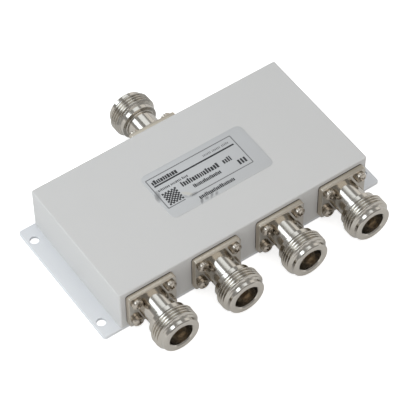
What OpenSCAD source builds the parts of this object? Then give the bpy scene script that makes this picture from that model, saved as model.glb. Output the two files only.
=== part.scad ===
// Four-way radio frequency power splitter: one coaxial socket in, four out.
// Millimetres, +Z up. The origin is the middle of the base plate's underside.
// The outputs face -Y, numbered from -X to +X, and the input faces +Y.

/* [Housing] */
// Length of the housing, without the mounting ears
body_l = 98.6; // [97:0.1:120]
// Depth of the housing from the output wall to the input wall
body_d = 52.2; // [50:0.1:70]
// Overall height, base plate included
body_h = 18.8; // [17.6:0.1:26]
// Thickness of the four side walls
wall = 5; // [4.5:0.1:6]
// Radius of the four upright edges
edge_r = 0.8; // [0.4:0.1:2]
// Bevel along the top edges
edge_bevel = 0.4; // [0.2:0.1:0.8]
// Radius that the cutter leaves in the corners of the pocket
pocket_r = 3; // [2:0.1:4]

/* [Base plate] */
// Thickness of the base plate and its ears
plate_t = 1.3; // [1.2:0.1:2]
// How far each ear stands out from the housing
ear_l = 6.4; // [6:0.1:12]
// Radius of the ears' corners
ear_r = 1; // [0.5:0.1:2]
// Diameter of the mounting holes
ear_hole_d = 3.2; // [2.6:0.1:4]
// Distance from the housing's end wall to a mounting hole
ear_hole_out = 3.7; // [3:0.1:4]
// Distance from the plate's long edge to a mounting hole
ear_hole_in = 5.95; // [4:0.05:10]
// Distance between the base screws of an end wall
end_screws = 30; // [24:0.5:34]

/* [Sockets] */
// Distance between neighbouring outputs
pitch = 25.4; // [24:0.1:26]
// Height of the sockets' axes above the base
axis_h = 9.95; // [9.4:0.05:10.4]
// Width of a socket's flange
flange_w = 18; // [17.6:0.1:19]
// Height of a socket's flange
flange_h = 14.4; // [14.2:0.1:15.2]
// Thickness of a socket's flange
flange_t = 2; // [1.6:0.1:3]
// Radius of the flange's corners
flange_r = 1; // [0.5:0.1:2]
// Distance from the wall to the mouth of a socket
reach = 18.5; // [18.2:0.05:20]
// Diameter of the plain neck behind the thread
neck_d = 10.6; // [10.2:0.1:11.2]
// Radius between the neck and the relief
neck_fillet = 0.5; // [0.3:0.1:1.4]
// Diameter of the relief behind the thread and of the ring in front of it
relief_d = 13.6; // [13.2:0.1:14.2]
// Length from the mouth to the back of the relief
head_l = 8.65; // [8.3:0.05:9.4]
// Major diameter of the coupling thread
thread_d = 15.88; // [15.6:0.02:16]
// Length of the coupling thread
thread_l = 5.65; // [5.2:0.05:6]
// Distance between the turns of the coupling thread
thread_pitch = 1.058; // [0.9:0.002:1.25]
// Length of the plain ring in front of the thread
ring_l = 1.4; // [1.1:0.1:2]
// Bevel on the front edge of the ring
ring_bevel = 0.3; // [0.1:0.05:0.5]
// Diameter of the bore that takes the plug
mouth_d = 8.1; // [8:0.05:8.4]
// Depth of the bore that takes the plug
mouth_depth = 9.1; // [8:0.1:10]
// Length of the cone that leads into the bore
lead_l = 1.4; // [0.8:0.1:2]
// How much the cone widens the bore at its mouth, on each side
lead_out = 0.45; // [0.2:0.05:0.6]

/* [Insulator and contact] */
// Diameter of the insulator inside the neck
bead_d = 7; // [6:0.1:7.6]
// Diameter of the insulator's spigot through the wall
spigot_d = 4.1; // [3.5:0.1:5]
// Gap between the spigot and its hole
spigot_gap = 0.05; // [0:0.01:0.1]
// Diameter of the centre contact's socket end
contact_d = 3.04; // [2.8:0.02:3.2]
// Distance from the mouth to the tip of the contact
contact_set = 4.3; // [3.8:0.1:4.4]
// Length of the contact's thick end that the insulator holds
contact_grip = 4; // [3:0.1:5]
// Bore of the contact
contact_bore = 1.7; // [1.5:0.05:2]
// Depth of the contact's bore and of its slots
contact_depth = 3.4; // [2.5:0.1:4]
// Width of the contact's slots
contact_slot = 0.3; // [0.2:0.05:0.5]
// Diameter of the contact's tail
tail_d = 1.27; // [1.1:0.01:1.4]
// Length of the tail inside the pocket
tail_l = 2.6; // [2:0.1:4]
// Height of the tail's flat above the socket's axis
tail_flat = 0.45; // [0.3:0.05:0.5]

/* [Gasket] */
// Thickness of the gasket under a flange
gasket_t = 0.3; // [0.2:0.05:0.6]
// How far the gasket stays back from the flange's outline
gasket_in = 0.1; // [0:0.05:0.3]
// Diameter of the flange's boss, which fills the gasket and meets the wall
boss_d = 11.4; // [9:0.1:11.6]

/* [Screws] */
// Diameter of all the screws' shanks
screw_d = 2.2; // [2:0.1:2.4]
// Extra diameter of the holes that the screws pass through
screw_play = 0.2; // [0.1:0.05:0.4]
// Diameter of a domed screw head
head_d = 3.9; // [3.6:0.1:4.1]
// Height of a domed screw head
head_h = 2; // [1.6:0.1:2.2]
// Height of a domed head's upright side
head_side = 1.4; // [1:0.1:1.5]
// Diameter of a sunk screw head
sunk_d = 4.3; // [4:0.1:4.5]
// Distance between the flange screws along the wall
flange_screw_x = 12.8; // [12.6:0.1:13.4]
// Distance between the flange screws up the wall
flange_screw_z = 9; // [8.8:0.1:9.6]
// Length of a flange screw inside the wall
flange_screw_in = 3.6; // [3:0.1:4]
// Length of a base screw inside the wall
base_screw_in = 5; // [4:0.1:6]
// Length of a board screw inside the pocket's roof
board_screw_in = 3; // [2:0.1:4]
// Spare depth of a tapped hole past its screw
tap_spare = 0.4; // [0.2:0.1:0.4]
// Span of the cross in a screw head
cross_span = 2.1; // [1.8:0.1:2.4]
// Width of the cross's arms
cross_w = 0.55; // [0.4:0.05:0.7]
// Depth of the cross in a domed head
domed_cross = 1.2; // [0.8:0.1:1.4]
// Depth of the cross in a sunk head
sunk_cross = 0.8; // [0.5:0.1:0.9]

/* [Circuit board] */
// Thickness of the board
board_t = 1.5; // [0.8:0.1:1.8]
// Gap between the board and the pocket's walls
board_gap = 0.3; // [0.2:0.05:0.6]
// Thickness of the copper tracks
track_t = 0.1; // [0.05:0.01:0.2]
// Width of the lines that carry the ports' impedance
line_w = 2.4; // [1.8:0.1:2.8]
// Width of the quarter-wave arms
arm_w = 1.3; // [1:0.1:1.6]
// Half the width of the loop that two arms make
arm_out = 7; // [5:0.5:8]
// Depth of the loop that two arms make
arm_run = 6; // [4:0.5:7]
// Half the distance between the ends of two arms
arm_end = 1.2; // [1.1:0.05:1.5]
// Distance between the end of a line and the board's edge
track_set = 0.3; // [0.1:0.05:0.6]
// Place of the first division, from the middle towards the input
first_split = 13; // [11:0.5:15]
// Place of the second division, from the middle towards the input
second_split = 1; // [0:0.5:3]
// Length of a chip resistor
chip_l = 2; // [1.8:0.05:2.4]
// Width of a chip resistor
chip_w = 1.25; // [0.8:0.05:1.3]
// Height of a chip resistor
chip_h = 0.5; // [0.35:0.05:0.7]
// Length of the metal cap on each end of a chip resistor
chip_cap = 0.4; // [0.2:0.05:0.5]
// How far the caps stand proud of the chip
chip_proud = 0.04; // [0.02:0.01:0.08]
// Distance from the board's long edge to its screws
board_screw_edge = 4.5; // [3.5:0.1:6]
// Distance from the board's short edge to the screws near the input
board_screw_end = 4.5; // [3.5:0.1:8]

/* [Label] */
// Length of the label
label_l = 40.4; // [20:0.1:60]
// Depth of the label
label_d = 20.5; // [10:0.1:30]
// Thickness of the label
label_t = 0.15; // [0.1:0.05:0.3]
// Radius of the label's corners
label_r = 1.6; // [0.5:0.1:4]
// How far the label's middle lies from the housing's middle, along the row of outputs
label_x = 2.5; // [-15:0.1:15]
// How far the label's middle lies from the housing's middle, towards the input
label_y = -0.5; // [-8:0.1:8]

/* [Hidden] */
$fn = 64;
eps = 0.01;

// Heights that the stack of track, board and roof follows
track_z = axis_h + tail_flat;
board_z = track_z + track_t;
roof_z = board_z + board_t;

// Plan sizes of the pocket and the board
pocket_l = body_l - 2 * wall;
pocket_d = body_d - 2 * wall;
board_l = pocket_l - 2 * board_gap;
board_d = pocket_d - 2 * board_gap;
plate_l = body_l + 2 * ear_l;

// Places along a socket's axis, measured from the wall
flange_z = gasket_t + flange_t;
relief_z = reach - head_l;
thread_front = reach - ring_l;
thread_back = thread_front - thread_l;
mouth_z = reach - mouth_depth;
tip_z = reach - contact_set;
grip_z = mouth_z - contact_grip;
tail_end = -wall - tail_l;

// The thread's grooves are cut at sixty degrees, with a narrow flat left between them
thread_depth = 0.6 * thread_pitch;
groove_half = 0.42 * thread_pitch;
thread_bevel = (thread_d - relief_d) / 2;
groove_count = floor((thread_l - 2 * thread_bevel) / thread_pitch) + 1;

// Screws: clearance and countersink
pass_d = screw_d + screw_play;
sunk_h = (sunk_d - screw_d) / 2;
base_screw_spots = concat(
    [for (x = [-1, 1], y = [-1, 1]) [x * (body_l - wall) / 2, y * end_screws / 2]],
    [for (x = [-1, 1], y = [-1, 1]) [x * pitch, y * (body_d - wall) / 2]]
);
board_screw_spots = concat(
    [for (x = [-1, 1]) [x * (board_l / 2 - board_screw_end), board_d / 2 - board_screw_edge]],
    [for (x = [-1, 1]) [x * pitch, board_screw_edge - board_d / 2]]
);
flange_screw_spots = [for (x = [-1, 1], z = [-1, 1]) [x * flange_screw_x / 2, z * flange_screw_z / 2]];

// Flat outline with rounded corners
module rounded(w, d, r) {
    square([w - 2 * r, d], center = true);
    square([w, d - 2 * r], center = true);
    for (x = [-1, 1], y = [-1, 1])
        translate([x * (w / 2 - r), y * (d / 2 - r)])
            circle(r);
}

// Plate with rounded corners, standing on z = 0
module plate(w, d, h, r) {
    linear_extrude(h)
        rounded(w, d, r);
}

// Puts its children at each point of a list
module at_spots(spots) {
    for (p = spots)
        translate([p[0], p[1], 0])
            children();
}

// A socket is drawn with its axis along +Z and the wall's face at z = 0
module at_output(i) {
    translate([(i - 1.5) * pitch, -body_d / 2, axis_h])
        rotate([90, 0, 0])
            children();
}

module at_input() {
    translate([0, body_d / 2, axis_h])
        rotate([90, 0, 180])
            children();
}

module at_ports() {
    for (i = [0:3])
        at_output(i)
            children();
    at_input()
        children();
}

// The recess that a cross-head driver turns, cut downwards from z = 0
module cross_recess(depth) {
    for (a = [0, 90])
        rotate(a)
            translate([0, 0, -depth / 2 + eps / 2])
                cube([cross_span, cross_w, depth + eps], center = true);
    translate([0, 0, -depth])
        cylinder(h = depth + eps, d1 = cross_w, d2 = 2 * cross_w + depth / 2);
}

// Screw with a domed head: its seat is z = 0 and its shank goes down
module domed_screw(shank) {
    difference() {
        union() {
            translate([0, 0, -shank])
                cylinder(h = shank + eps, d = screw_d);
            cylinder(h = head_side, d = head_d);
            translate([0, 0, head_side])
                intersection() {
                    cylinder(h = head_h - head_side, d = head_d);
                    dome(head_d / 2, head_h - head_side);
                }
        }
        translate([0, 0, head_h])
            cross_recess(domed_cross);
    }
}

// Cap of a ball with a given foot radius and rise, standing on z = 0
module dome(foot, rise) {
    ball = (foot * foot + rise * rise) / (2 * rise);
    translate([0, 0, rise - ball])
        sphere(ball);
}

// Screw with a sunk head: the head's face is z = 0 and its shank goes up
module sunk_screw(shank) {
    difference() {
        union() {
            cylinder(h = sunk_h, d1 = sunk_d, d2 = screw_d);
            cylinder(h = shank, d = screw_d);
        }
        rotate([180, 0, 0])
            cross_recess(sunk_cross);
    }
}

// Milled block, open underneath
module housing() {
    side = edge_bevel * sqrt(2);
    color([0.78, 0.78, 0.78])
        difference() {
            translate([0, 0, plate_t])
                plate(body_l, body_d, body_h - plate_t, edge_r);
            for (y = [-1, 1])
                translate([0, y * body_d / 2, body_h])
                    rotate([45, 0, 0])
                        cube([body_l + 1, side, side], center = true);
            for (x = [-1, 1])
                translate([x * body_l / 2, 0, body_h])
                    rotate([0, 45, 0])
                        cube([side, body_d + 1, side], center = true);
            translate([0, 0, plate_t - eps])
                plate(pocket_l, pocket_d, roof_z - plate_t + eps, pocket_r);
            at_spots(base_screw_spots)
                translate([0, 0, plate_t - eps])
                    cylinder(h = base_screw_in + tap_spare + eps, d = screw_d);
            at_spots(board_screw_spots)
                translate([0, 0, roof_z - eps])
                    cylinder(h = board_screw_in + tap_spare + eps, d = screw_d);
            at_ports() {
                translate([0, 0, -wall - 1])
                    cylinder(h = wall + 2, d = spigot_d + 2 * spigot_gap);
                at_spots(flange_screw_spots)
                    translate([0, 0, -flange_screw_in - tap_spare])
                        cylinder(h = flange_screw_in + tap_spare + eps, d = screw_d);
            }
        }
}

// Plate that closes the pocket and carries the four mounting ears
module base_plate() {
    color([0.76, 0.77, 0.78])
        difference() {
            plate(plate_l, body_d, plate_t, ear_r);
            for (x = [-1, 1], y = [-1, 1])
                translate([x * (body_l / 2 + ear_hole_out), y * (body_d / 2 - ear_hole_in), -1])
                    cylinder(h = plate_t + 2, d = ear_hole_d);
            at_spots(base_screw_spots) {
                translate([0, 0, -1])
                    cylinder(h = plate_t + 2, d = screw_d);
                translate([0, 0, -eps])
                    cylinder(h = sunk_h + eps, d1 = sunk_d + 2 * eps, d2 = screw_d);
            }
        }
}

module base_screws() {
    color([0.6, 0.6, 0.6])
        at_spots(base_screw_spots)
            sunk_screw(plate_t + base_screw_in);
}

module label() {
    color([0.74, 0.77, 0.78])
        translate([label_x, label_y, body_h])
            plate(label_l, label_d, label_t, label_r);
}

// Laminate held against the pocket's roof, with its tracks underneath
module circuit_board() {
    color([0.35, 0.45, 0.3])
        difference() {
            translate([0, 0, board_z])
                plate(board_l, board_d, board_t, pocket_r);
            at_spots(board_screw_spots)
                translate([0, 0, board_z - 1])
                    cylinder(h = board_t + 2, d = pass_d);
        }
}

module board_screws() {
    color([0.7, 0.7, 0.68])
        at_spots(board_screw_spots)
            translate([0, 0, board_z])
                rotate([180, 0, 0])
                    domed_screw(board_t + board_screw_in);
}

// Flat run of copper from p to q, with round ends
module run(p, q, w) {
    dx = q[0] - p[0];
    dy = q[1] - p[1];
    translate(p)
        circle(d = w);
    translate(q)
        circle(d = w);
    translate((p + q) / 2)
        rotate(atan2(dy, dx))
            square([norm([dx, dy]), w], center = true);
}

// A chain of runs through a list of points
module chain(points, w) {
    for (i = [1:len(points) - 1])
        run(points[i - 1], points[i], w);
}

// One division: two narrow arms leave [x, y] and come back to the ends of the resistor
module division(x, y) {
    for (s = [-1, 1])
        chain([
            [x, y],
            [x + s * arm_out, y],
            [x + s * arm_out, y - arm_run],
            [x + s * arm_end, y - arm_run]
        ], arm_w);
}

module copper_tracks() {
    edge = board_d / 2 - track_set - line_w / 2;
    first_end = first_split - arm_run;
    second_end = second_split - arm_run;
    cross_y = (first_end + second_split) / 2;
    out_y = second_end - 2 * line_w;
    color([0.85, 0.55, 0.3])
        translate([0, 0, track_z])
            linear_extrude(track_t) {
                run([0, edge], [0, first_split], line_w);
                division(0, first_split);
                for (s = [-1, 1]) {
                    x = s * pitch;
                    run([s * arm_end, first_end], [s * arm_end, cross_y], arm_w);
                    chain([[s * line_w, cross_y], [x, cross_y], [x, second_split]], line_w);
                    division(x, second_split);
                    for (t = [-1, 1]) {
                        run([x + t * arm_end, second_end], [x + t * arm_end, out_y], arm_w);
                        chain([
                            [x + t * line_w, out_y],
                            [x + t * pitch / 2, out_y],
                            [x + t * pitch / 2, -edge]
                        ], line_w);
                    }
                }
            }
}

// Chip resistor that bridges the ends of two arms, hanging under the track
module resistor(x, y) {
    color([0.1, 0.1, 0.1])
        translate([x, y, track_z - chip_h / 2]) {
            cube([chip_l, chip_w - 2 * chip_proud, chip_h - 2 * chip_proud], center = true);
            for (s = [-1, 1])
                translate([s * (chip_l - chip_cap) / 2, 0, 0])
                    cube([chip_cap, chip_w, chip_h], center = true);
        }
}

// Outline of the socket's turned body, radius along x and the axis along y
module shell_outline() {
    crest = thread_d / 2;
    relief = relief_d / 2;
    neck = neck_d / 2;
    front = thread_front - thread_bevel - thread_pitch / 2;
    difference() {
        polygon([
            [0, 0],
            [boss_d / 2, 0],
            [boss_d / 2, gasket_t + eps],
            [neck, gasket_t + eps],
            [neck, relief_z],
            [relief, relief_z],
            [relief, thread_back],
            [crest, thread_back + thread_bevel],
            [crest, thread_front - thread_bevel],
            [relief, thread_front],
            [relief, reach - ring_bevel],
            [relief - ring_bevel, reach],
            [0, reach]
        ]);
        for (i = [0:groove_count - 1])
            translate([crest, front - i * thread_pitch])
                polygon([[eps, -groove_half], [eps, groove_half], [-thread_depth, 0]]);
    }
    difference() {
        translate([neck - eps, relief_z - neck_fillet])
            square([neck_fillet + eps, neck_fillet + eps]);
        translate([neck + neck_fillet, relief_z - neck_fillet])
            circle(neck_fillet);
    }
}

// Outline of the shell's bore, from the mouth through to the wall
module bore_outline() {
    polygon([
        [-1, -1],
        [bead_d / 2, -1],
        [bead_d / 2, mouth_z],
        [mouth_d / 2, mouth_z],
        [mouth_d / 2, reach - lead_l],
        [mouth_d / 2 + lead_out, reach],
        [mouth_d / 2 + lead_out, reach + eps],
        [-1, reach + eps]
    ]);
}

// Flange, neck, thread and mouth, turned and milled from one piece
module shell() {
    color([0.72, 0.7, 0.66])
        difference() {
            union() {
                translate([0, 0, gasket_t])
                    plate(flange_w, flange_h, flange_t, flange_r);
                rotate_extrude()
                    shell_outline();
            }
            rotate_extrude()
                intersection() {
                    bore_outline();
                    translate([0, -2])
                        square([thread_d, reach + 4]);
                }
            at_spots(flange_screw_spots)
                cylinder(h = flange_z + 1, d = pass_d);
        }
}

// Bead in the neck with a spigot through the wall
module insulator() {
    color([0.93, 0.9, 0.84])
        rotate_extrude()
            polygon([
                [tail_d / 2, -wall],
                [spigot_d / 2, -wall],
                [spigot_d / 2, 0],
                [bead_d / 2, 0],
                [bead_d / 2, mouth_z],
                [contact_d / 2, mouth_z],
                [contact_d / 2, grip_z],
                [tail_d / 2, grip_z]
            ]);
}

// Slotted socket in front, tail behind, with a flat that meets the track
module contact() {
    lip = 0.25;
    color([0.85, 0.68, 0.32])
        difference() {
            rotate_extrude()
                polygon([
                    [0, tail_end],
                    [tail_d / 2, tail_end],
                    [tail_d / 2, grip_z],
                    [contact_d / 2, grip_z],
                    [contact_d / 2, tip_z - lip],
                    [contact_d / 2 - lip, tip_z],
                    [contact_bore / 2, tip_z],
                    [contact_bore / 2, tip_z - contact_depth],
                    [0, tip_z - contact_depth]
                ]);
            for (a = [45, 135])
                rotate(a)
                    translate([0, 0, tip_z - contact_depth / 2 + eps])
                        cube([contact_d + 1, contact_slot, contact_depth], center = true);
            translate([0, tail_flat + tail_d / 2, tail_end + tail_l / 2 - eps])
                cube([2 * tail_d, tail_d, tail_l], center = true);
        }
}

module gasket() {
    color([0.12, 0.12, 0.12])
        difference() {
            plate(flange_w - 2 * gasket_in, flange_h - 2 * gasket_in, gasket_t, flange_r);
            translate([0, 0, -1])
                cylinder(h = gasket_t + 2, d = boss_d);
            at_spots(flange_screw_spots)
                translate([0, 0, -1])
                    cylinder(h = gasket_t + 2, d = pass_d);
        }
}

module flange_screws() {
    color([0.66, 0.64, 0.6])
        at_spots(flange_screw_spots)
            translate([0, 0, flange_z])
                domed_screw(flange_z + flange_screw_in);
}

housing();
base_plate();
base_screws();
label();
circuit_board();
copper_tracks();
board_screws();
resistor(0, first_split - arm_run);  // resistor_first
resistor(-pitch, second_split - arm_run);  // resistor_left
resistor(pitch, second_split - arm_run);  // resistor_right
at_input() shell();  // input_shell
at_input() insulator();  // input_insulator
at_input() contact();  // input_contact
at_input() gasket();  // input_gasket
at_input() flange_screws();  // input_screws
for (i = [0:3]) {
    at_output(i) shell();
    at_output(i) insulator();
    at_output(i) contact();
    at_output(i) gasket();
    at_output(i) flange_screws();
}
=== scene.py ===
# The looks of a four-way power splitter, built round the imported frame.
# Meshes are drawn in millimetres and turned into metres when they are placed.
import random
from math import asin, ceil, cos, hypot, pi, radians, sin, tan

import bmesh
import bpy
from mathutils import Matrix, Vector


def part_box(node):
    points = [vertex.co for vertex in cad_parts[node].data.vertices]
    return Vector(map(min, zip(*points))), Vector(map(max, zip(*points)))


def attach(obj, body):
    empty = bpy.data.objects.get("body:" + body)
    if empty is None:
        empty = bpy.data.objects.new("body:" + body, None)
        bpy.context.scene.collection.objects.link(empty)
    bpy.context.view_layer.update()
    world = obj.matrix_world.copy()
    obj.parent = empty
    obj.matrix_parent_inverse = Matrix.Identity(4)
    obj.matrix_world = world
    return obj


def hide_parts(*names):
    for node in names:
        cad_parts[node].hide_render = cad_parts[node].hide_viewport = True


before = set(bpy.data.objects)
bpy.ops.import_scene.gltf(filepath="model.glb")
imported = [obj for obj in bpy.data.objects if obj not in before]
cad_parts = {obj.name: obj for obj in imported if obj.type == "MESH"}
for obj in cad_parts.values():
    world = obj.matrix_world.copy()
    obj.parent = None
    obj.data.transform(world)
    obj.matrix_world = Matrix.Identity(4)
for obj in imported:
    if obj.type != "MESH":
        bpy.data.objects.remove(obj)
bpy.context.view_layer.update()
scene = bpy.context.scene
mm = 0.001
toMetres = Matrix.Scale(mm, 4)
ports = ["input"] + [f"output_{i}" for i in range(1, 5)]
turnSteps = 128  # facets round every turned piece
boxCrease = 40  # an edge stays sharp above this angle, in degrees, on flat-sided pieces
turnedCrease = 28  # and on turned ones


# Node trees: Wire lets a socket stand in plain sums, NodeTree adds the nodes

class Wire:
    def __init__(self, tree, socket):
        self.tree = tree
        self.socket = socket

    def __add__(self, other):
        return self.tree.math("ADD", self, other)

    def __sub__(self, other):
        return self.tree.math("SUBTRACT", self, other)

    def __rsub__(self, other):
        return self.tree.math("SUBTRACT", other, self)

    def __mul__(self, other):
        return self.tree.math("MULTIPLY", self, other)

    def __truediv__(self, other):
        return self.tree.math("DIVIDE", self, other)

    def __rtruediv__(self, other):
        return self.tree.math("DIVIDE", other, self)

    def __gt__(self, other):
        return self.tree.math("GREATER_THAN", self, other)

    def __lt__(self, other):
        return self.tree.math("LESS_THAN", self, other)

    __radd__ = __add__
    __rmul__ = __mul__

    def pick(self, name):  # another output of the same node
        return Wire(self.tree, self.socket.node.outputs[name])


class NodeTree:
    def __init__(self, tree):
        self.tree = tree

    def node(self, kind, settings=None, inputs=None, output=0):
        made = self.tree.nodes.new(kind)
        for name, value in (settings or {}).items():
            setattr(made, name, value)
        for name, value in (inputs or {}).items():
            self.feed(made.inputs[name], value)
        return Wire(self, made.outputs[output]) if made.outputs else made

    def feed(self, socket, value):
        if isinstance(value, Wire):
            self.tree.links.new(value.socket, socket)
        else:
            socket.default_value = value

    def math(self, operation, *values):
        return self.node("ShaderNodeMath", {"operation": operation}, dict(enumerate(values)))

    def clamp(self, value):
        return self.node("ShaderNodeMath", {"operation": "ADD", "use_clamp": True},
                         {0: value, 1: 0.0})

    def mix(self, factor, first, second):  # colours
        return self.node("ShaderNodeMix", {"data_type": "RGBA"},
                         {0: factor, 6: first, 7: second}, 2)

    def join(self, x, y, z):
        return self.node("ShaderNodeCombineXYZ", None, {0: x, 1: y, 2: z})

    def split(self, vector):
        parts = self.node("ShaderNodeSeparateXYZ", None, {0: vector})
        return parts.pick("X"), parts.pick("Y"), parts.pick("Z")


def geometryTree(name, wanted):
    group = bpy.data.node_groups.new(name, "GeometryNodeTree")
    group.interface.new_socket("Geometry", in_out="INPUT", socket_type="NodeSocketGeometry")
    for title, kind in wanted.items():
        group.interface.new_socket(title, in_out="INPUT", socket_type="NodeSocket" + kind)
    group.interface.new_socket("Geometry", in_out="OUTPUT", socket_type="NodeSocketGeometry")
    tree = NodeTree(group)
    given = tree.node("NodeGroupInput")
    return tree, given


def finishTree(tree, shape, given):
    real = tree.node("GeometryNodeRealizeInstances", None, {"Geometry": shape})
    done = tree.node("GeometryNodeSetMaterial", None,
                     {"Geometry": real, "Material": given.pick("Finish")})
    tree.node("NodeGroupOutput", None, {"Geometry": done})
    return tree.tree


def runTree(obj, group, values):
    modifier = obj.modifiers.new(group.name, "NODES")
    modifier.node_group = group
    for item in group.interface.items_tree:
        if item.in_out == "INPUT" and item.name in values:
            modifier[item.identifier] = values[item.name]
    applyAll(obj)


# Meshes

def makeObject(name, mesh):
    obj = bpy.data.objects.new(name, mesh)
    scene.collection.objects.link(obj)
    return obj


def fromBmesh(name, shape):
    mesh = bpy.data.meshes.new(name)
    shape.to_mesh(mesh)
    shape.free()
    return makeObject(name, mesh)


def applyAll(obj):  # the evaluated object becomes a plain mesh
    bpy.context.view_layer.update()
    graph = bpy.context.evaluated_depsgraph_get()
    mesh = bpy.data.meshes.new_from_object(
        obj.evaluated_get(graph), preserve_all_data_layers=True, depsgraph=graph)
    obj.modifiers.clear()
    old = obj.data
    obj.data = mesh
    bpy.data.meshes.remove(old)


def smooth(obj, angle):
    obj.data.shade_smooth()
    obj.data.set_sharp_from_angle(angle=radians(angle))


def cleaned(shape, distance=1e-3):  # doubles merged, faces outwards
    bmesh.ops.remove_doubles(shape, verts=shape.verts, dist=distance)
    bmesh.ops.dissolve_degenerate(shape, edges=shape.edges, dist=distance / 10)
    bmesh.ops.recalc_face_normals(shape, faces=shape.faces)


def cut(body, tool, operation="DIFFERENCE", selfCrossing=False):  # the tool is used up
    modifier = body.modifiers.new("Cut", "BOOLEAN")
    modifier.operation = operation
    modifier.object = tool
    modifier.solver = "EXACT"
    modifier.use_self = selfCrossing
    applyAll(body)
    bpy.data.objects.remove(tool)


# Corners are (radius, along, rounding); a rounded one becomes an arc that touches both sides,
# with a point held just before and after it so that the straight stretches shade true
def softOutline(corners, steps=5, hold=0.03):
    points = []
    for i, (x, y, rounding) in enumerate(corners):
        here = Vector((x, y))
        if rounding == 0:
            points.append(here)
            continue
        before = (Vector(corners[i - 1][:2]) - here).normalized()
        after = (Vector(corners[i + 1][:2]) - here).normalized()
        half = before.angle(after) / 2
        centre = here + (before + after).normalized() * rounding / sin(half)
        start = here + before * rounding / tan(half) - centre
        end = here + after * rounding / tan(half) - centre
        sweep = start.angle_signed(end)
        points.append(centre + start + before * hold)
        for k in range(steps + 1):
            points.append(centre + Matrix.Rotation(-sweep * k / steps, 2) @ start)
        points.append(centre + end + after * hold)
    return points


def turned(name, outline):  # outline is (radius, along), spun round Z
    shape = bmesh.new()
    rings = []
    for radius, along in outline:
        ring = []
        for k in range(turnSteps):
            angle = 2 * pi * k / turnSteps
            ring.append(shape.verts.new((radius * cos(angle), radius * sin(angle), along)))
        rings.append(ring)
    for lower, upper in zip(rings, rings[1:]):
        for k in range(turnSteps):
            n = (k + 1) % turnSteps
            shape.faces.new((lower[k], lower[n], upper[n], upper[k]))
    cleaned(shape)
    return fromBmesh(name, shape)


def roundedOutline(length, depth, radius, steps=8):
    points = []
    for i, (sx, sy) in enumerate([(1, 1), (-1, 1), (-1, -1), (1, -1)]):
        for k in range(steps + 1):
            angle = (i + k / steps) * pi / 2
            points.append((sx * (length / 2 - radius) + radius * cos(angle),
                           sy * (depth / 2 - radius) + radius * sin(angle)))
    return points


def stacked(name, levels):  # levels are (length, depth, corner radius, height)
    shape = bmesh.new()
    rings = [[shape.verts.new((x, y, height)) for x, y in roundedOutline(length, depth, radius)]
             for length, depth, radius, height in levels]
    for lower, upper in zip(rings, rings[1:]):
        for k in range(len(lower)):
            n = (k + 1) % len(lower)
            shape.faces.new((lower[k], lower[n], upper[n], upper[k]))
    shape.faces.new(rings[0][::-1])
    shape.faces.new(rings[-1])
    bmesh.ops.recalc_face_normals(shape, faces=shape.faces)
    return fromBmesh(name, shape)


# Levels that round the upper edge of a slab, or the lower one when up is False
def roundedEdge(length, depth, radius, height, edge, steps=4, up=True):
    smallest = 0.05  # the corner radius never gets to nothing
    levels = []
    for k in range(steps + 1):
        angle = pi / 2 * k / steps
        inset = edge * (1 - cos(angle))
        rise = edge * sin(angle) - edge
        levels.append((length - 2 * inset, depth - 2 * inset, max(radius - inset, smallest),
                       height + rise if up else height - rise))
    return levels if up else levels[::-1]


def place(obj, matrix, material, slot, *replaced):
    obj.data.transform(toMetres @ matrix)
    obj.data.materials.clear()
    obj.data.materials.append(material)
    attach(obj, "root")
    if replaced:
        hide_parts(*replaced)


# Sizes that the frame gives, in millimetres
def boxOf(node):
    low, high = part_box(node)
    return low / mm, high / mm


housingLow, housingHigh = boxOf("housing")
plateLow, plateHigh = boxOf("base_plate")
labelLow, labelHigh = boxOf("label")


def portPlace(port):  # the wall at a socket's axis, turned so that +Z leads out of the wall
    low, high = boxOf(port + "_shell")
    middle = (low + high) / 2
    if port == "input":
        return Matrix.Translation((middle.x, housingHigh.y, middle.z)) @ \
            Matrix.Rotation(pi, 4, "Z") @ Matrix.Rotation(pi / 2, 4, "X")
    return Matrix.Translation((middle.x, housingLow.y, middle.z)) @ Matrix.Rotation(pi / 2, 4, "X")


# Materials

def newMaterial(name):
    material = bpy.data.materials.new(name)
    material.use_nodes = True
    material.node_tree.nodes.clear()
    return material, NodeTree(material.node_tree)


def closeMaterial(tree, sockets):
    shader = tree.node("ShaderNodeBsdfPrincipled", None, sockets)
    tree.node("ShaderNodeOutputMaterial", None, {"Surface": shader})


def objectPlace(tree):
    return tree.node("ShaderNodeTexCoord", None, None, "Object")


def attribute(tree, name):
    return tree.node("ShaderNodeAttribute", {"attribute_name": name}, None, "Fac")


def noise(tree, where, size, detail):  # size of one blotch in millimetres
    return tree.node("ShaderNodeTexNoise", None, {
        "Vector": where, "Scale": 1 / (size * mm), "Detail": detail, "Roughness": 0.5})


def bump(tree, height, strength, distance):
    return tree.node("ShaderNodeBump", None, {
        "Height": height, "Strength": strength, "Distance": distance * mm})


def tint(colour, factor):
    return tuple(c * factor for c in colour) + (1.0,)


# Dark marks on the label and beside it, in millimetres:
# x, y, half width, half height, lean of the upright, strength
darkMarks = {
    "left margin": (-16.8, 0.0, 1.1, 2.3, 0.3, 0.6),
    "under the frame": (-6.6, -6.0, 1.9, 0.7, 0.0, 0.48),
    "beside the chequer": (-9.2, -5.3, 0.6, 1.1, -0.4, 0.25),
    "low left": (-5.9, -9.6, 0.6, 1.3, 0.5, 0.60),
    "low middle": (-4.0, -9.7, 0.9, 0.7, 0.2, 0.46),
    "low right": (-1.9, -9.6, 0.65, 1.2, 0.8, 0.50),
    "low end": (-0.2, -9.9, 0.65, 0.8, 0.6, 0.46),
}
stain = (-8.2, -4.5, 1.0, 1.7, -0.8, 0.45)  # one faint mark on the film, in the same form
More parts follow.
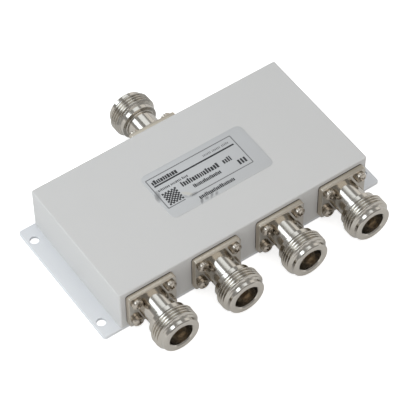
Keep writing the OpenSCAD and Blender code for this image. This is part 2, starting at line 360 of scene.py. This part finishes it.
# A mark fades out at reach, in squared half sizes, and edge says how fast; marks stay on the
# topmost millimetre, off the walls and the underside
markLook = {"darkMarks": (0.06, 0.06, 0.06, 1), "stain": (0.55, 0.51, 0.41, 1),
        "reach": 1.3, "edge": 0.8, "ragged": 0.7, "topmost": 1}


def softSpot(tree, where, acrossMiddle, upMiddle, halfWidth, halfHeight, lean, strength):
    x, y, _ = tree.split(where)
    rise = y / mm - upMiddle
    across = (x / mm - acrossMiddle - rise * lean) / halfWidth
    up = rise / halfHeight
    return tree.clamp((markLook["reach"] - across * across - up * up) * markLook["edge"]) * strength


def darkMarkColour(tree, where, colour):
    ragged = noise(tree, where, markLook["ragged"], 3)
    total = 0.0
    for mark in darkMarks.values():
        total = softSpot(tree, where, *mark) + total
    onTop = tree.split(where)[2] / mm > labelLow.z - markLook["topmost"]
    return tree.mix(tree.clamp(total * onTop * (ragged + 0.5)), colour, markLook["darkMarks"])


# Satin paint with a fine peel
paintLook = {"dark": 0.965, "light": 1.03, "clouds": 30, "peel": 0.55, "grain": 0.12,
             "grainTone": 0.3, "grainHeight": 0.2, "roughness": 0.5, "uneven": 0.1,
             "bump": 0.25, "depth": 0.02}


def paintMaterial(name, colour):
    look = paintLook
    material, tree = newMaterial(name)
    where = objectPlace(tree)
    clouds = noise(tree, where, look["clouds"], 3)
    peel = noise(tree, where, look["peel"], 2)
    grain = noise(tree, where, look["grain"], 1)
    shade = tree.clamp(clouds * (1 - look["grainTone"]) + grain * look["grainTone"])
    height = peel * (1 - look["grainHeight"]) + grain * look["grainHeight"]
    toned = tree.mix(shade, tint(colour, look["dark"]), tint(colour, look["light"]))
    closeMaterial(tree, {
        "Base Color": darkMarkColour(tree, where, toned),
        "Roughness": look["roughness"] + (clouds - 0.5) * look["uneven"],
        "Normal": bump(tree, height, look["bump"], look["depth"])})
    return material


# Bright metal with fine turning marks, duller, and warmer by a painted warm reflection, where a
# piece's faces say so
metalLook = {"dark": 0.94, "light": 1.05, "clouds": 3.5, "uneven": 0.10, "bump": 0.10,
             "depth": 0.01, "marksInOne": 9.0, "markUneven": 0.08, "dullest": 0.2,
             "paintedWarm": (1.06, 1.01, 0.93)}


def metalMaterial(name, colour, roughness):
    look = metalLook
    material, tree = newMaterial(name)
    clouds = noise(tree, objectPlace(tree), look["clouds"], 3)
    marks = tree.node("ShaderNodeTexNoise", {"noise_dimensions": "1D"}, {
        "W": attribute(tree, "turning") * look["marksInOne"], "Scale": 1.0, "Detail": 2.0})
    toned = tree.mix(clouds, tint(colour, look["dark"]), tint(colour, look["light"]))
    # The warmer colour stands in for warm surroundings seen in the flange: a painted warm
    # reflection
    paintedWarmColour = tuple(part * share for part, share in zip(colour, look["paintedWarm"])) + (1,)
    dulled = attribute(tree, "milled") * look["dullest"]
    closeMaterial(tree, {
        "Base Color": tree.mix(attribute(tree, "paintedWarm"), toned, paintedWarmColour),
        "Metallic": 1.0,
        "Roughness": roughness + (clouds - 0.5) * look["uneven"]
        + (marks - 0.5) * look["markUneven"] + dulled,
        "Normal": bump(tree, marks, look["bump"], look["depth"])})
    return material


# Clouded finishes: blotch and depth in millimetres, spread as a share of the colour
plainUneven = 0.15
plainBump = 0.3
plainLooks = {
    "insulator": {"colour": (0.80, 0.77, 0.70), "roughness": 0.45, "blotch": 1.2, "spread": 0.04,
                  "metallic": 0.0, "depth": 0.01},
    "gold": {"colour": (0.82, 0.63, 0.42), "roughness": 0.32, "blotch": 0.8, "spread": 0.06,
             "metallic": 1.0, "depth": 0.01},
    "gasket": {"colour": (0.055, 0.046, 0.038), "roughness": 0.7, "blotch": 0.5, "spread": 0.2,
               "metallic": 0.0, "depth": 0.02},
    "laminate": {"colour": (0.10, 0.16, 0.08), "roughness": 0.55, "blotch": 0.6, "spread": 0.08,
                 "metallic": 0.0, "depth": 0.01},
    "copper": {"colour": (0.75, 0.38, 0.22), "roughness": 0.3, "blotch": 1.5, "spread": 0.08,
               "metallic": 1.0, "depth": 0.01},
    "ceramic": {"colour": (0.03, 0.03, 0.035), "roughness": 0.4, "blotch": 0.4, "spread": 0.15,
                "metallic": 0.0, "depth": 0.01},
}


def plainMaterial(name, look):
    material, tree = newMaterial(name)
    clouds = noise(tree, objectPlace(tree), look["blotch"], 3)
    dark, light = (tint(look["colour"], 1 + sign * look["spread"]) for sign in (-1, 1))
    closeMaterial(tree, {
        "Base Color": tree.mix(clouds, dark, light),
        "Metallic": look["metallic"],
        "Roughness": look["roughness"] + (clouds - 0.5) * plainUneven,
        "Normal": bump(tree, clouds, plainBump, look["depth"])})
    return material


filmLook = {"dark": (0.482, 0.492, 0.500, 1), "light": (0.500, 0.510, 0.519, 1), "clouds": 6,
            "roughness": 0.34, "uneven": 0.1}


def filmMaterial():
    look = filmLook
    material, tree = newMaterial("label_film")
    where = objectPlace(tree)
    clouds = noise(tree, where, look["clouds"], 2)
    colour = tree.mix(clouds, look["dark"], look["light"])
    colour = tree.mix(softSpot(tree, where, *stain), colour, markLook["stain"])
    closeMaterial(tree, {"Base Color": darkMarkColour(tree, where, colour),
                         "Roughness": look["roughness"] + (clouds - 0.5) * look["uneven"]})
    return material


inkLook = {"black": (0.022, 0.022, 0.025, 1), "bare": (0.49, 0.50, 0.51, 1), "patches": 0.5,
           "worn": 0.25, "roughness": 0.45, "uneven": 0.1}


def inkMaterial():  # the bars carry their own shade, from black to the bare film's colour
    look = inkLook
    material, tree = newMaterial("ink")
    patchy = noise(tree, objectPlace(tree), look["patches"], 2)
    worn = tree.clamp(attribute(tree, "shade") + (patchy - 0.5) * look["worn"])
    closeMaterial(tree, {"Base Color": tree.mix(worn, look["black"], look["bare"]),
                         "Roughness": look["roughness"] + (patchy - 0.5) * look["uneven"]})
    return material


paint = paintMaterial("grey_paint", (0.575, 0.575, 0.57))
platePaint = paintMaterial("plate_paint", (0.69, 0.71, 0.735))
nickel = metalMaterial("nickel", (0.57, 0.535, 0.48), 0.15)
screwNickel = metalMaterial("screw_nickel", (0.56, 0.505, 0.435), 0.25)
screwSteel = metalMaterial("screw_steel", (0.50, 0.50, 0.50), 0.3)
plain = {name: plainMaterial(name, look) for name, look in plainLooks.items()}
film = filmMaterial()
ink = inkMaterial()
print("materials ready")


# Housing: painted block, open underneath, with rounded upper edges
housing = {"corner": 0.8, "edge": 0.55, "wall": 5.0, "pocketCorner": 3.0, "roof": 12.0}


def makeHousing():
    length, depth = (housingHigh - housingLow).xy
    bottom, top = housingLow.z, housingHigh.z
    pocket = (length - 2 * housing["wall"], depth - 2 * housing["wall"], housing["pocketCorner"])
    block = stacked("housing_painted", [
        (*pocket, housing["roof"]),
        (*pocket, bottom),
        (length, depth, housing["corner"], bottom),
        *roundedEdge(length, depth, housing["corner"], top, housing["edge"])])
    smooth(block, boxCrease)
    place(block, Matrix.Identity(4), paint, "paint", "housing")


makeHousing()
print("housing done")


# Base plate with its four ears
basePlate = {"corner": 1.0, "edge": 0.15, "holeAcross": 106.0, "holeAlong": 40.3, "hole": 3.2,
             "lip": 0.06, "toolPast": 1.0}


def makePlate():
    length, depth = (plateHigh - plateLow).xy
    bottom, top = plateLow.z, plateHigh.z
    plate = stacked("base_plate_painted", [
        *roundedEdge(length, depth, basePlate["corner"], bottom, basePlate["edge"], up=False),
        *roundedEdge(length, depth, basePlate["corner"], top, basePlate["edge"])])
    radius, lip, past = basePlate["hole"] / 2, basePlate["lip"], basePlate["toolPast"]
    for sx in (-1, 1):
        for sy in (-1, 1):
            tool = turned("tool", [  # its flared ends break the hole's edges
                (0, bottom - past), (radius + lip + past, bottom - past), (radius, bottom + lip),
                (radius, top - lip), (radius + lip + past, top + past), (0, top + past)])
            tool.data.transform(Matrix.Translation(
                (sx * basePlate["holeAcross"] / 2, sy * basePlate["holeAlong"] / 2, 0)))
            cut(plate, tool)
    smooth(plate, boxCrease)
    place(plate, Matrix.Identity(4), platePaint, "plate_paint", "base_plate")


makePlate()
print("base plate done")


# Sockets: flange, neck and mouth turned in one, with a rolled thread
shellLow, shellHigh = boxOf("output_1_shell")
socket = {
    "reach": housingLow.y - shellLow.y,
    "flangeWidth": shellHigh.x - shellLow.x,
    "flangeHeight": 14.4,
    "flangeCorner": 1.0,
    "flangeEdge": 0.15,
    "flangeBack": 0.3,
    "flangeFront": 2.3,
    "boss": 11.4,
    "neck": 10.6,
    "neckFillet": 0.5,
    "relief": 13.6,
    "head": 8.65,
    "thread": shellHigh.z - shellLow.z,
    "threadLength": 5.65,
    "pitch": 1.058,
    "threadDepth": 0.635,
    "ring": 1.4,
    "ringBevel": 0.3,
    "edge": 0.1,  # roundings of the turned edges, down to the two of the mouth's chamfer
    "headEdge": 0.2,
    "coneEdge": 0.5,
    "leadInner": 0.05,
    "leadOuter": 0.08,
    "mouth": 8.1,
    "mouthDepth": 9.1,
    "frontBore": 8.7,
    "frontBoreDepth": 5.4,
    "coneLength": 1.6,
    "lead": 0.4,
    "bore": 7.0,
    "screwAcross": 12.8,
    "screwUp": 9.0,
    "screwHole": 2.4,
    "threadRows": 12,  # in one turn
    "toolBottom": -1.0,  # where the tools end that open the flange
    "toolTop": 4.0,
}
threadFront = socket["reach"] - socket["ring"]
threadBack = threadFront - socket["threadLength"]
# How dull each region is beside the polished neck, from 0 to 1
satin = {"flange face": 1.0, "flange sides": 0.9, "thread": 0.3, "bore": 0.5}
# How much of the warmer tone, a painted warm reflection, each region of the flange takes
warmReflectionShare = {"flange face": 0.35, "flange sides": 1.0}


def threadTree():
    tree, given = geometryTree("rolled_thread", {
        "Crest Radius": "Float", "Root Radius": "Float", "Pitch": "Float", "Back": "Float",
        "Front": "Float", "Relief Radius": "Float", "Turns": "Int", "Steps": "Int",
        "Rows A Turn": "Int", "Finish": "Material"})
    pitch, back, front = given.pick("Pitch"), given.pick("Back"), given.pick("Front")
    crest, root = given.pick("Crest Radius"), given.pick("Root Radius")
    turns = given.pick("Turns")
    sheet = tree.node("GeometryNodeMeshGrid", None, {
        "Size X": 1.0, "Size Y": 1.0,
        "Vertices X": given.pick("Steps") + 1,
        "Vertices Y": turns * given.pick("Rows A Turn") + 1})
    x, y, _ = tree.split(tree.node("GeometryNodeInputPosition"))
    turn = x + 0.5
    free = back + ((y + 0.5) * turns + turn - 1) * pitch  # rows climb one pitch a turn
    along = tree.math("MINIMUM", tree.math("MAXIMUM", free, back), front)
    phase = tree.math("FRACT", (along - back) / pitch - turn)
    fromGroove = tree.math("ABSOLUTE", phase - 0.5)
    flank = tree.clamp((5 / 12 - fromGroove) * 3)  # flats of a sixth of a pitch on crest and root
    radius = crest - (crest - root) * flank
    relief = given.pick("Relief Radius")
    radius = tree.math("MINIMUM", radius, relief + (front - along))  # a bevel at each end
    radius = tree.math("MINIMUM", radius, relief + (along - back))
    angle = turn * (2 * pi)
    spot = tree.join(radius * tree.math("COSINE", angle), radius * tree.math("SINE", angle), along)
    moved = tree.node("GeometryNodeSetPosition", None, {"Geometry": sheet, "Position": spot})
    return finishTree(tree, moved, given)


def bodyOutline():
    s = socket
    reach = s["reach"]
    relief, neck, boss, bore, mouth, front = (
        s[k] / 2 for k in ("relief", "neck", "boss", "bore", "mouth", "frontBore"))
    inFlange = (s["flangeBack"] + s["flangeFront"]) / 2
    return softOutline([
        (relief, threadBack, 0),
        (relief, reach - s["head"], s["headEdge"]),
        (neck, reach - s["head"], s["neckFillet"]),
        (neck, inFlange, 0),
        (boss, inFlange, 0),
        (boss, 0, s["edge"]),
        (bore, 0, s["edge"]),
        (bore, reach - s["mouthDepth"], 0),
        (mouth, reach - s["mouthDepth"], 0),
        (mouth, reach - s["frontBoreDepth"] - s["coneLength"], s["coneEdge"]),
        (front, reach - s["frontBoreDepth"], s["coneEdge"]),
        (front, reach - s["lead"], s["leadInner"]),
        (front + s["lead"], reach, s["leadOuter"]),
        (relief - s["ringBevel"], reach, s["edge"]),
        (relief, reach - s["ringBevel"], s["edge"]),
        (relief, threadFront, 0)])


def threadedBody():
    s = socket
    body = turned("turned_body", bodyOutline())
    thread = makeObject("thread", bpy.data.meshes.new("thread"))
    runTree(thread, threadTree(), {
        "Crest Radius": s["thread"] / 2, "Root Radius": s["thread"] / 2 - s["threadDepth"],
        "Pitch": s["pitch"], "Back": threadBack, "Front": threadFront,
        "Relief Radius": s["relief"] / 2, "Turns": ceil(s["threadLength"] / s["pitch"]) + 1,
        "Steps": turnSteps, "Rows A Turn": s["threadRows"], "Finish": nickel})
    shape = bmesh.new()
    shape.from_mesh(body.data)
    shape.from_mesh(thread.data)
    cleaned(shape)
    shape.to_mesh(body.data)
    shape.free()
    bpy.data.objects.remove(thread)
    return body


def openFlange(shell):  # the bore, and a hole for each screw
    s = socket
    bore = s["bore"] / 2 - 0.001  # a hair inside the turned body's own wall
    hole = s["screwHole"] / 2
    low, high = s["toolBottom"], s["toolTop"]
    cut(shell, turned("tool", [(0, low), (bore, low), (bore, high), (0, high)]))
    for sx in (-1, 1):
        for sy in (-1, 1):
            tool = turned("tool", [(0, 0), (hole, 0), (hole, high), (0, high)])
            tool.data.transform(Matrix.Translation(
                (sx * s["screwAcross"] / 2, sy * s["screwUp"] / 2, 0)))
            cut(shell, tool)


# The finish reads how far along the turning a point lies, how dull a face is, and how much painted
# warm reflection it takes
def markRegions(shell):
    mesh = shell.data
    turning = mesh.attributes.new("turning", "FLOAT", "POINT")
    for v, item in zip(mesh.vertices, turning.data):
        item.value = hypot(v.co.x, v.co.y) + v.co.z
    for name in ("milled", "paintedWarm"):
        mesh.attributes.new(name, "FLOAT", "FACE")
    milled, paintedWarm = (mesh.attributes[name].data for name in ("milled", "paintedWarm"))
    inBore = socket["frontBore"] / 2 + 0.01
    pastFlange = socket["flangeFront"] + 0.01
    onThread = socket["relief"] / 2 + 0.05
    pastNeck = socket["neck"] / 2 + 0.1
    facesFront = 0.7  # the least share of a normal along the socket
    for i, face in enumerate(mesh.polygons):
        out = face.center.xy.length
        if out < inBore:
            milled[i].value = satin["bore"]
        elif face.center.z > pastFlange:
            milled[i].value = satin["thread"] if out > onThread else 0.0
        elif out > pastNeck:
            region = "flange face" if face.normal.z > facesFront else "flange sides"
            milled[i].value, paintedWarm[i].value = satin[region], warmReflectionShare[region]


def makeShell():
    s = socket
    size = (s["flangeWidth"], s["flangeHeight"], s["flangeCorner"])
    shell = stacked("flange", [
        *roundedEdge(*size, s["flangeBack"], s["flangeEdge"], up=False),
        *roundedEdge(*size, s["flangeFront"], s["flangeEdge"])])
    cut(shell, threadedBody(), "UNION")
    openFlange(shell)
    markRegions(shell)
    smooth(shell, turnedCrease)
    return shell


def makeSockets():
    first = makeShell()
    for port in ports:
        shell = makeObject(port + "_shell_threaded", first.data.copy())
        place(shell, portPlace(port), nickel, "nickel", port + "_shell")
    bpy.data.objects.remove(first)


makeSockets()
print("sockets done")


# Screws: domed heads on the flanges, sunk heads under the base, all with a cross recess
screw = {
    "shank": 2.2, "head": 3.9, "headHeight": 2.0, "headSide": 1.4, "length": 5.9,
    "footEdge": 0.12, "shoulder": 0.1, "domeSteps": 10,
    "cross": 2.1, "crossWidth": 0.6, "crossDepth": 1.25, "crossAbove": 0.3,
    "crossFoot": (0.5, 0.55), "crossTop": (1.12, 1.05),  # shares of its span and width
    "sunkHead": 4.3, "sunkHeight": 1.05, "sunkLength": 6.3, "sunkEdge": 0.05, "sunkCross": 0.95,
    "baseAcross": 25.4, "baseAlong": 15.0, "seed": 7,
}


def cutCross(body, top, size=1.0):  # two tapered blades that cross
    shape = bmesh.new()
    span, width = screw["cross"] * size, screw["crossWidth"] * size
    for turn in (0, pi / 2):
        blade = bmesh.ops.create_cube(shape, size=1.0)["verts"]
        for v in blade:
            low = v.co.z < 0
            spanShare, widthShare = screw["crossFoot"] if low else screw["crossTop"]
            v.co.x *= span * spanShare
            v.co.y *= width * widthShare
            v.co.z = top - screw["crossDepth"] if low else top + screw["crossAbove"]
        bmesh.ops.rotate(shape, verts=blade, matrix=Matrix.Rotation(turn, 3, "Z"))
    cut(body, fromBmesh("tool", shape), selfCrossing=True)


def domedScrew():
    shank, head = screw["shank"] / 2, screw["head"] / 2
    side, high = screw["headSide"], screw["headHeight"]
    steps, foot = screw["domeSteps"], screw["footEdge"]
    rise = high - side
    ball = (head * head + rise * rise) / (2 * rise)
    dome = [(ball * sin(a), high - ball + ball * cos(a))
            for a in (asin(head / ball) * (1 - k / steps) for k in range(1, steps + 1))]
    body = turned("domed_screw", [
        (0, -screw["length"]), (shank, -screw["length"]), (shank, 0), (head - foot, 0),
        (head, foot), (head, side - screw["shoulder"])] + dome)
    cutCross(body, high)
    return body


def sunkScrew():
    shank, head, edge = screw["shank"] / 2, screw["sunkHead"] / 2, screw["sunkEdge"]
    body = turned("sunk_screw", [
        (0, -screw["sunkLength"]), (shank, -screw["sunkLength"]), (shank, -screw["sunkHeight"]),
        (head, -edge), (head - edge, 0), (0, 0)])
    cutCross(body, 0.0, screw["sunkCross"])
    return body


def screwTree():
    tree, given = geometryTree("screws_in_place", {
        "Screw": "Object", "Largest Turn": "Float", "Seed": "Int", "Finish": "Material"})
    shape = tree.node("GeometryNodeObjectInfo", None,
                      {"Object": given.pick("Screw"), "As Instance": True}, "Geometry")
    facing = tree.node("GeometryNodeInputNamedAttribute", {"data_type": "FLOAT_VECTOR"},
                       {"Name": "facing"}, "Attribute")
    aimed = tree.node("FunctionNodeAlignRotationToVector", {"axis": "Z"}, {"Vector": facing})
    spread = tree.node("GeometryNodeInstanceOnPoints", None, {
        "Points": given.pick("Geometry"), "Instance": shape, "Rotation": aimed})
    spin = tree.node("FunctionNodeRandomValue", {"data_type": "FLOAT"}, {
        "Min": 0.0, "Max": given.pick("Largest Turn"), "Seed": given.pick("Seed")}, 1)
    turnedOnes = tree.node("GeometryNodeRotateInstances", None, {
        "Instances": spread, "Rotation": tree.join(0.0, 0.0, spin), "Local Space": True})
    return finishTree(tree, turnedOnes, given)


def scatterScrews(name, master, spots, material, slot, replaced):
    mesh = bpy.data.meshes.new(name)
    mesh.from_pydata([point for point, _ in spots], [], [])
    facing = mesh.attributes.new("facing", "FLOAT_VECTOR", "POINT")
    for item, (_, direction) in zip(facing.data, spots):
        item.vector = direction
    screws = makeObject(name, mesh)
    runTree(screws, screwTree(), {
        "Screw": master, "Largest Turn": pi / 2, "Seed": screw["seed"], "Finish": material})
    smooth(screws, turnedCrease)
    place(screws, Matrix.Identity(4), material, slot, *replaced)
    bpy.data.objects.remove(master)


def makeScrews():
    flangeSpots = []
    for port in ports:
        matrix = portPlace(port)
        facing = (matrix.to_3x3() @ Vector((0, 0, 1))).normalized()
        for sx in (-1, 1):
            for sy in (-1, 1):
                spot = matrix @ Vector((sx * socket["screwAcross"] / 2, sy * socket["screwUp"] / 2,
                                        socket["flangeFront"]))
                flangeSpots.append((spot, facing))
    scatterScrews("flange_screw_heads", domedScrew(), flangeSpots, screwNickel, "screw_nickel",
                  [port + "_screws" for port in ports])
    endX = housingHigh.x - housing["wall"] / 2
    sideY = housingHigh.y - housing["wall"] / 2
    around = [(sx * endX, sy * screw["baseAlong"]) for sx in (-1, 1) for sy in (-1, 1)]
    around += [(sx * screw["baseAcross"], sy * sideY) for sx in (-1, 1) for sy in (-1, 1)]
    down = Vector((0, 0, -1))
    baseSpots = [((x, y, plateLow.z), down) for x, y in around]
    scatterScrews("base_screw_heads", sunkScrew(), baseSpots, screwSteel, "screw_steel",
                  ["base_screws"])


makeScrews()
print("screws done")


# Label: a film printed with a thin frame, rows of plain bars, a chequer and three upright bars
label = {"corner": 2.2, "film": 0.12, "edge": 0.04, "ink": 0.02, "seed": 4}
barShares = {"width": (0.7, 1.25), "height": [0.76, 0.8, 0.84, 1.0], "wordGap": 2.4}
frameLines = {"left": -16.6, "right": 17.2, "bottom": -6.1, "top": 7.45, "wide": 0.36,
              "worn": (-10.0, -7.4), "shade": 0.34}
headLine = {"left": -15.55, "right": 16.3, "middle": 3.8, "wide": 0.62, "shade": 0.0}
# Each row: left, right, bottom, top, width of a bar, gap, bars in a word (0 for one word), shade
printRows = {
    "bold": (-15.5, -5.4, 4.45, 6.35, 0.72, 0.22, 0, 0.0),
    "small right": (5.0, 15.2, 5.0, 5.95, 0.28, 0.30, 6, 0.25),
    "small left": (-15.4, -3.6, 1.2, 2.2, 0.32, 0.24, 8, 0.06),
    "large": (-7.7, 7.25, -1.45, 0.7, 0.68, 0.27, 0, 0.0),
    "large end": (8.9, 12.5, -1.4, 0.65, 0.62, 0.3, 0, 0.0),
    "second": (-4.75, 6.1, -4.0, -2.5, 0.40, 0.17, 0, 0.0),
    "below": (-5.9, 7.9, -9.0, -7.5, 0.40, 0.17, 0, 0.0),
}
chequer = {"left": -15.35, "bottom": -5.4, "cells": 9, "cell": 0.6, "fill": 1.22, "shade": 0.0}
cornerBars = {"count": 3, "left": 13.05, "bottom": -4.7, "bar": 0.72, "gap": 0.4, "high": 2.2,
              "shade": 0.0}


def barRow(chance, left, right, bottom, top, wide, gap, inWord, shade):
    bars = []
    x = left
    while x < right - wide / 2:
        width = wide * chance.uniform(*barShares["width"])
        high = (top - bottom) * chance.choice(barShares["height"])
        bars.append((x + width / 2, bottom + high / 2, width, high, shade))
        wordEnds = inWord and len(bars) % inWord == 0
        x += width + gap * (barShares["wordGap"] if wordEnds else 1)
    return bars


def printedBars():
    chance = random.Random(label["seed"])
    f, h, c, b = frameLines, headLine, chequer, cornerBars
    middle, height = (f["bottom"] + f["top"]) / 2, f["top"] - f["bottom"]
    bars = [(side, middle, f["wide"], height, f["shade"]) for side in (f["left"], f["right"])]
    for left, right, y in ((f["left"], f["right"], f["top"]),
                           (f["left"], f["worn"][0], f["bottom"]),
                           (f["worn"][1], f["right"], f["bottom"])):
        bars.append(((left + right) / 2, y, right - left, f["wide"], f["shade"]))
    bars.append(((h["left"] + h["right"]) / 2, h["middle"], h["right"] - h["left"], h["wide"],
                 h["shade"]))
    for row in printRows.values():
        bars += barRow(chance, *row)
    for i in range(c["cells"]):
        for j in range(c["cells"]):
            if (i + j) % 2 == 0:
                bars.append((c["left"] + (i + 0.5) * c["cell"], c["bottom"] + (j + 0.5) * c["cell"],
                             c["cell"] * c["fill"], c["cell"] * c["fill"], c["shade"]))
    for i in range(b["count"]):
        bars.append((b["left"] + b["bar"] / 2 + i * (b["bar"] + b["gap"]),
                     b["bottom"] + b["high"] / 2, b["bar"], b["high"], b["shade"]))
    return bars


def printTree():
    tree, given = geometryTree("printed_bars", {"Thickness": "Float", "Finish": "Material"})
    block = tree.node("GeometryNodeMeshCube", None, {
        "Size": tree.join(1.0, 1.0, given.pick("Thickness"))}, "Mesh")
    extent = tree.node("GeometryNodeInputNamedAttribute", {"data_type": "FLOAT_VECTOR"},
                       {"Name": "extent"}, "Attribute")
    bars = tree.node("GeometryNodeInstanceOnPoints", None, {
        "Points": given.pick("Geometry"), "Instance": block, "Scale": extent})
    return finishTree(tree, bars, given)


def makePrint(filmTop):
    bars = printedBars()
    mesh = bpy.data.meshes.new("label_print")
    mesh.from_pydata([(x, y, filmTop) for x, y, _, _, _ in bars], [], [])
    mesh.attributes.new("extent", "FLOAT_VECTOR", "POINT")
    mesh.attributes.new("shade", "FLOAT", "POINT")
    for i, (_, _, width, height, tone) in enumerate(bars):
        mesh.attributes["extent"].data[i].vector = (width, height, 1.0)
        mesh.attributes["shade"].data[i].value = tone
    printed = makeObject("label_print", mesh)
    runTree(printed, printTree(), {"Thickness": 2 * label["ink"], "Finish": ink})
    place(printed, Matrix.Identity(4), ink, "label_film")


def makeLabel():
    length, depth = (labelHigh - labelLow).xy
    middle = (labelLow + labelHigh) / 2
    base = labelLow.z
    sheet = stacked("label_film", [
        (length, depth, label["corner"], base),
        *roundedEdge(length, depth, label["corner"], base + label["film"], label["edge"], 2)])
    smooth(sheet, boxCrease)
    place(sheet, Matrix.Translation((middle.x, middle.y, 0)), film, "label_film", "label")
    makePrint(base + label["film"])


makeLabel()
print("label done")


# Finishes of the frame's own pieces
ownFinish = {
    "_insulator": plain["insulator"], "_contact": plain["gold"], "_gasket": plain["gasket"],
    "circuit_board": plain["laminate"], "copper_tracks": plain["copper"],
    "board_screws": screwSteel, "resistor_first": plain["ceramic"],
    "resistor_left": plain["ceramic"], "resistor_right": plain["ceramic"],
}
for name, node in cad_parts.items():
    for ending, material in ownFinish.items():
        if name.endswith(ending):
            node.data.materials.clear()
            node.data.materials.append(material)
print("frame finishes done")


# Floor, light and camera
studio = {
    "floorSize": 3.0, "floorDrop": 0.00005, "floorShade": 0.72, "floorGlow": 0.75,
    "floorMirrored": 0.06,
    "worldLight": 0.41, "ceiling": 0.35, "ceilingFrom": 0.05, "ceilingTo": 0.20,
    "lampFar": 1.3,
}
# Each lamp: azimuth from +Y towards +X, elevation, width, height, power, colour, seen in metal
lamps = {
    "key": (-46.5, 44, 0.25, 0.85, 2.2, (0.82, 0.91, 1.0), True),
    "top": (18, 55, 0.66, 0.42, 0.96, (0.87, 0.94, 1.0), True),
    "side": (54, 24, 0.80, 0.55, 0.85, (1.0, 0.985, 0.95), True),
    "overhead": (-65, 74, 1.3, 1.3, 4.7, (1.0, 0.995, 0.985), False),
    "left": (-93, 17, 0.9, 0.5, 6.6, (0.95, 0.985, 1.0), False),
    "front": (165, 59, 1.3, 1.0, 3.4, (1.0, 0.965, 0.92), True),
    "low": (-172, 8, 0.9, 0.3, 2.4, (1.0, 0.965, 0.92), False),
}


def makeFloor():
    size = studio["floorSize"]
    mesh = bpy.data.meshes.new("floor")
    mesh.from_pydata([(-size, -size, 0), (size, -size, 0), (size, size, 0), (-size, size, 0)],
                     [], [(0, 1, 2, 3)])
    floor = makeObject("floor", mesh)
    material, tree = newMaterial("floor")
    shade = studio["floorShade"]
    matt = tree.node("ShaderNodeBsdfDiffuse", None, {"Color": (shade, shade, shade, 1)})
    path = tree.node("ShaderNodeLightPath")
    mirrored = tree.math("MAXIMUM", path.pick("Is Glossy Ray"), path.pick("Is Transmission Ray"))
    strength = path.pick("Is Camera Ray") * studio["floorGlow"] + mirrored * studio["floorMirrored"]
    glow = tree.node("ShaderNodeEmission", None, {"Strength": strength})
    both = tree.node("ShaderNodeAddShader", None, {0: matt, 1: glow})
    tree.node("ShaderNodeOutputMaterial", None, {"Surface": both})
    mesh.materials.append(material)
    floor.location.z = -studio["floorDrop"]


def makeWorld():  # white horizon under a darker ceiling, and a plain level for matt surfaces
    world = bpy.data.worlds.new("studio")
    scene.world = world
    world.use_nodes = True
    world.node_tree.nodes.clear()
    tree = NodeTree(world.node_tree)
    path = tree.node("ShaderNodeLightPath")
    seen = tree.math("MAXIMUM", path.pick("Is Camera Ray"), path.pick("Is Glossy Ray"))
    seen = tree.math("MAXIMUM", seen, path.pick("Is Transmission Ray"))
    height = tree.split(tree.node("ShaderNodeTexCoord", None, None, "Generated"))[2]
    span = studio["ceilingTo"] - studio["ceilingFrom"]
    above = tree.clamp((height - studio["ceilingFrom"]) / span)
    backdrop = 1 - above * (1 - studio["ceiling"])
    strength = seen * backdrop + (1 - seen) * studio["worldLight"]
    back = tree.node("ShaderNodeBackground", None, {"Color": (1, 1, 1, 1), "Strength": strength})
    tree.node("ShaderNodeOutputWorld", None, {"Surface": back})


def makeLamp(name, azimuth, elevation, width, height, power, colour, mirrored):
    lamp = bpy.data.lights.new(name, "AREA")
    lamp.shape = "RECTANGLE"
    lamp.size = width
    lamp.size_y = height
    lamp.energy = power
    lamp.color = colour
    a, e = radians(azimuth), radians(elevation)
    towards = Vector((sin(a) * cos(e), cos(a) * cos(e), sin(e)))
    obj = makeObject(name, lamp)
    obj.location = towards * studio["lampFar"]
    obj.rotation_euler = (-towards).to_track_quat("-Z", "Y").to_euler()
    obj.visible_camera = False
    obj.visible_glossy = mirrored


# Where the photograph was taken from; across and up slide the camera in its own plane
photoView = {"azimuth": -34.664, "elevation": 52.265, "roll": -0.464, "distance": 0.6897,
             "across": 0.001575, "up": 0.001169, "lens": 180.1, "sensor": 36.0,
             "nearest": 0.01}


def makeCamera():
    v = photoView
    a, e = radians(v["azimuth"]), radians(v["elevation"])
    back = Vector((sin(a) * cos(e), -cos(a) * cos(e), sin(e)))
    right = Vector((cos(a), sin(a), 0))
    up = back.cross(right)
    turn = Matrix.Rotation(radians(v["roll"]), 3, back)
    right, up = turn @ right, turn @ up
    spot = back * v["distance"] + right * v["across"] + up * v["up"]
    data = bpy.data.cameras.new("camera")
    data.lens = v["lens"]
    data.sensor_width = v["sensor"]
    data.clip_start = v["nearest"]
    camera = makeObject("camera", data)
    pose = Matrix((right, up, back)).transposed().to_4x4()
    pose.translation = spot
    camera.matrix_world = pose
    scene.camera = camera


makeFloor()
makeWorld()
for name, lamp in lamps.items():
    makeLamp(name, *lamp)
makeCamera()
scene.view_settings.view_transform = "Standard"
print("studio done")
